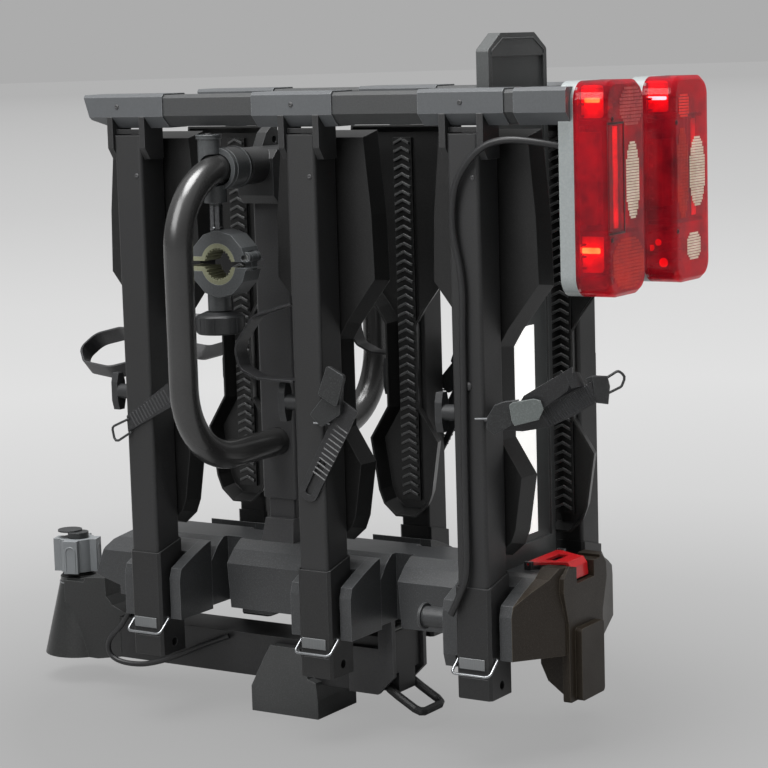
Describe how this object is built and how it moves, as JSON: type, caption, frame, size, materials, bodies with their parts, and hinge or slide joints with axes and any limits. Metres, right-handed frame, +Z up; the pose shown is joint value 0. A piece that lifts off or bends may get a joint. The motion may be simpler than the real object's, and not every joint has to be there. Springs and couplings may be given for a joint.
{
  "type": "hitch bike rack",
  "caption": "Folded towbar bike rack with upright folding wheel-tray wings, a hoop with a bike clamp, tail lamps, number board, ball coupling and foot pedal.",
  "frame": {"origin": "on the floor under the centre of the bounding box", "axes": "+X rearwards from the ball coupling to the lamps, +Y to the far wing, +Z up"},
  "size_m": [0.795, 0.396, 0.727],
  "materials": {
    "black_aluminium": "satin powder coat",
    "black_steel": "satin powder coat",
    "grey_plastic": "fine grain",
    "black_plastic": "matt",
    "smooth_plastic": "semi-gloss",
    "lens_red": "gloss",
    "board_white": "matt",
    "latch_red": "semi-gloss",
    "bright_steel": "brushed",
    "strap_plastic": "matt",
    "lever_grey": "matt",
    "liner_rubber": "matt",
    "cable_black": "matt",
    "tag_grey": "brushed"
  },
  "bodies": {
    "base": {"lower_beam": "black_steel", "coupling_body": "black_steel", "foot": "black_plastic", "low_cable": "cable_black"},
    "platform": {"centre_beam": "grey_plastic", "tilt_bracket": "black_steel", "front_cross_beam": "grey_plastic", "middle_cross_beam": "grey_plastic", "rear_cross_beam": "grey_plastic", "rear_cover": "grey_plastic", "mast": "black_steel", "hoop": "black_aluminium", "head_casting": "black_aluminium", "hinge_pins": "bright_steel", "clamp_collar": "black_aluminium"},
    "coupling_knob": {"coupling_knob": "black_plastic"},
    "lock_cap": {"lock_cap": "black_plastic"},
    "pedal": {"pedal": "black_steel"},
    "board": {"number_board": "black_plastic", "board_label": "board_white"},
    "red_latch": {"red_latch": "latch_red"},
    "clamp": {"clamp_arm": "black_plastic", "upper_liner": "liner_rubber", "clamp_bolt": "bright_steel"},
    "lower_jaw": {"lower_jaw": "black_plastic", "lower_liner": "liner_rubber"},
    "clamp_knob": {"clamp_knob": "black_plastic"},
    "near_wing": {"near_arms": "black_aluminium", "near_sleeves": "grey_plastic", "near_tags": "tag_grey", "near_bar": "black_aluminium", "near_bar_covers": "smooth_plastic", "near_trays": "black_plastic", "near_lamp_base": "black_plastic", "near_lamp_lens": "lens_red", "near_straps": "strap_plastic", "near_buckles": "black_plastic", "lamp_cable": "cable_black"},
    "near_bails": {"near_bails": "bright_steel"},
    "near_front_knob": {"near_front_knob": "black_plastic"},
    "near_middle_knob": {"near_middle_knob": "black_plastic"},
    "near_rear_knob": {"near_rear_knob": "black_plastic"},
    "near_middle_lever": {"near_middle_lever": "lever_grey"},
    "near_rear_lever": {"near_rear_lever": "lever_grey"},
    "far_wing": {"far_arms": "black_aluminium", "far_sleeves": "grey_plastic", "far_tags": "tag_grey", "far_bar": "black_aluminium", "far_bar_covers": "smooth_plastic", "far_trays": "black_plastic", "far_lamp_base": "black_plastic", "far_lamp_lens": "lens_red", "far_straps": "strap_plastic", "far_buckles": "black_plastic"},
    "far_bails": {"far_bails": "bright_steel"},
    "far_front_knob": {"far_front_knob": "black_plastic"},
    "far_middle_knob": {"far_middle_knob": "black_plastic"},
    "far_rear_knob": {"far_rear_knob": "black_plastic"},
    "far_middle_lever": {"far_middle_lever": "lever_grey"},
    "far_rear_lever": {"far_rear_lever": "lever_grey"}
  },
  "joints": [
    {"name": "coupling_knob_turn", "type": "hinge", "parent": "base", "child": "coupling_knob", "pos_m": [-0.3555, 0, 0.14], "axis": [0, 0, 1], "continuous": true},
    {"name": "lock_cap_swing", "type": "hinge", "parent": "coupling_knob", "child": "lock_cap", "pos_m": [-0.3535, 0, 0.165], "axis": [0, 0, 1], "range_deg": [0, 150]},
    {"name": "pedal_press", "type": "hinge", "parent": "base", "child": "pedal", "pos_m": [0.08, 0, 0.043], "axis": [0, 1, 0], "range_deg": [0, 12], "stiffness_Nm_per_rad": 4, "springref_deg": -5.73},
    {"name": "platform_tilt", "type": "hinge", "parent": "base", "child": "platform", "pos_m": [0.0845, 0, 0.103], "axis": [0, 1, 0], "range_deg": [0, 35]},
    {"name": "board_slide", "type": "slide", "parent": "platform", "child": "board", "axis": [0, 0, 1], "range_m": [0, 0.06]},
    {"name": "latch_lift", "type": "hinge", "parent": "platform", "child": "red_latch", "pos_m": [0.262, 0, 0.195], "axis": [0, -1, 0], "range_deg": [0, 70]},
    {"name": "clamp_swivel", "type": "hinge", "parent": "platform", "child": "clamp", "pos_m": [-0.05825, -0.108, 0.56], "axis": [0, 0, 1], "range_deg": [-90, 90]},
    {"name": "jaw_open", "type": "hinge", "parent": "clamp", "child": "lower_jaw", "pos_m": [-0.01575, -0.108, 0.5065], "axis": [0, -1, 0], "range_deg": [0, 35], "deforming": ["near_straps"]},
    {"name": "clamp_knob_turn", "type": "hinge", "parent": "lower_jaw", "child": "clamp_knob", "pos_m": [-0.05825, -0.108, 0.436], "axis": [0, 0, 1], "continuous": true},
    {"name": "near_wing_fold", "type": "hinge", "parent": "platform", "child": "near_wing", "pos_m": [0.045, -0.09, 0.144], "axis": [1, 0, 0], "range_deg": [0, 90]},
    {"name": "near_bails_swing", "type": "hinge", "parent": "near_wing", "child": "near_bails", "pos_m": [0.045, -0.111, 0.114], "axis": [-1, 0, 0], "range_deg": [-15, 90]},
    {"name": "near_front_knob_turn", "type": "hinge", "parent": "near_wing", "child": "near_front_knob", "pos_m": [-0.1915, -0.1016, 0.357], "axis": [1, 0, 0], "continuous": true},
    {"name": "near_middle_knob_turn", "type": "hinge", "parent": "near_wing", "child": "near_middle_knob", "pos_m": [0.027, -0.1016, 0.357], "axis": [1, 0, 0], "continuous": true},
    {"name": "near_rear_knob_turn", "type": "hinge", "parent": "near_wing", "child": "near_rear_knob", "pos_m": [0.2155, -0.1016, 0.357], "axis": [1, 0, 0], "continuous": true},
    {"name": "far_wing_fold", "type": "hinge", "parent": "platform", "child": "far_wing", "pos_m": [0.045, 0.09, 0.144], "axis": [-1, 0, 0], "range_deg": [0, 90]},
    {"name": "far_bails_swing", "type": "hinge", "parent": "far_wing", "child": "far_bails", "pos_m": [0.045, 0.111, 0.114], "axis": [1, 0, 0], "range_deg": [-15, 90]},
    {"name": "far_front_knob_turn", "type": "hinge", "parent": "far_wing", "child": "far_front_knob", "pos_m": [-0.1915, 0.1016, 0.357], "axis": [1, 0, 0], "continuous": true},
    {"name": "far_middle_knob_turn", "type": "hinge", "parent": "far_wing", "child": "far_middle_knob", "pos_m": [0.027, 0.1016, 0.357], "axis": [1, 0, 0], "continuous": true},
    {"name": "far_rear_knob_turn", "type": "hinge", "parent": "far_wing", "child": "far_rear_knob", "pos_m": [0.2155, 0.1016, 0.357], "axis": [1, 0, 0], "continuous": true},
    {"name": "near_middle_lever_open", "type": "hinge", "parent": "near_wing", "child": "near_middle_lever", "pos_m": [0.089, -0.1291, 0.366], "axis": [0.8779, 0, -0.4789], "range_deg": [0, 100]},
    {"name": "far_middle_lever_open", "type": "hinge", "parent": "far_wing", "child": "far_middle_lever", "pos_m": [0.089, 0.1291, 0.366], "axis": [-0.8779, 0, 0.4789], "range_deg": [0, 100]},
    {"name": "far_rear_lever_open", "type": "hinge", "parent": "far_wing", "child": "far_rear_lever", "pos_m": [0.2455, 0.1331, 0.38], "axis": [-1, 0, 0], "range_deg": [0, 100]},
    {"name": "near_rear_lever_open", "type": "hinge", "parent": "near_wing", "child": "near_rear_lever", "pos_m": [0.29084, -0.11895, 0.361], "axis": [0, 0, -1], "range_deg": [0, 100]}
  ]
}
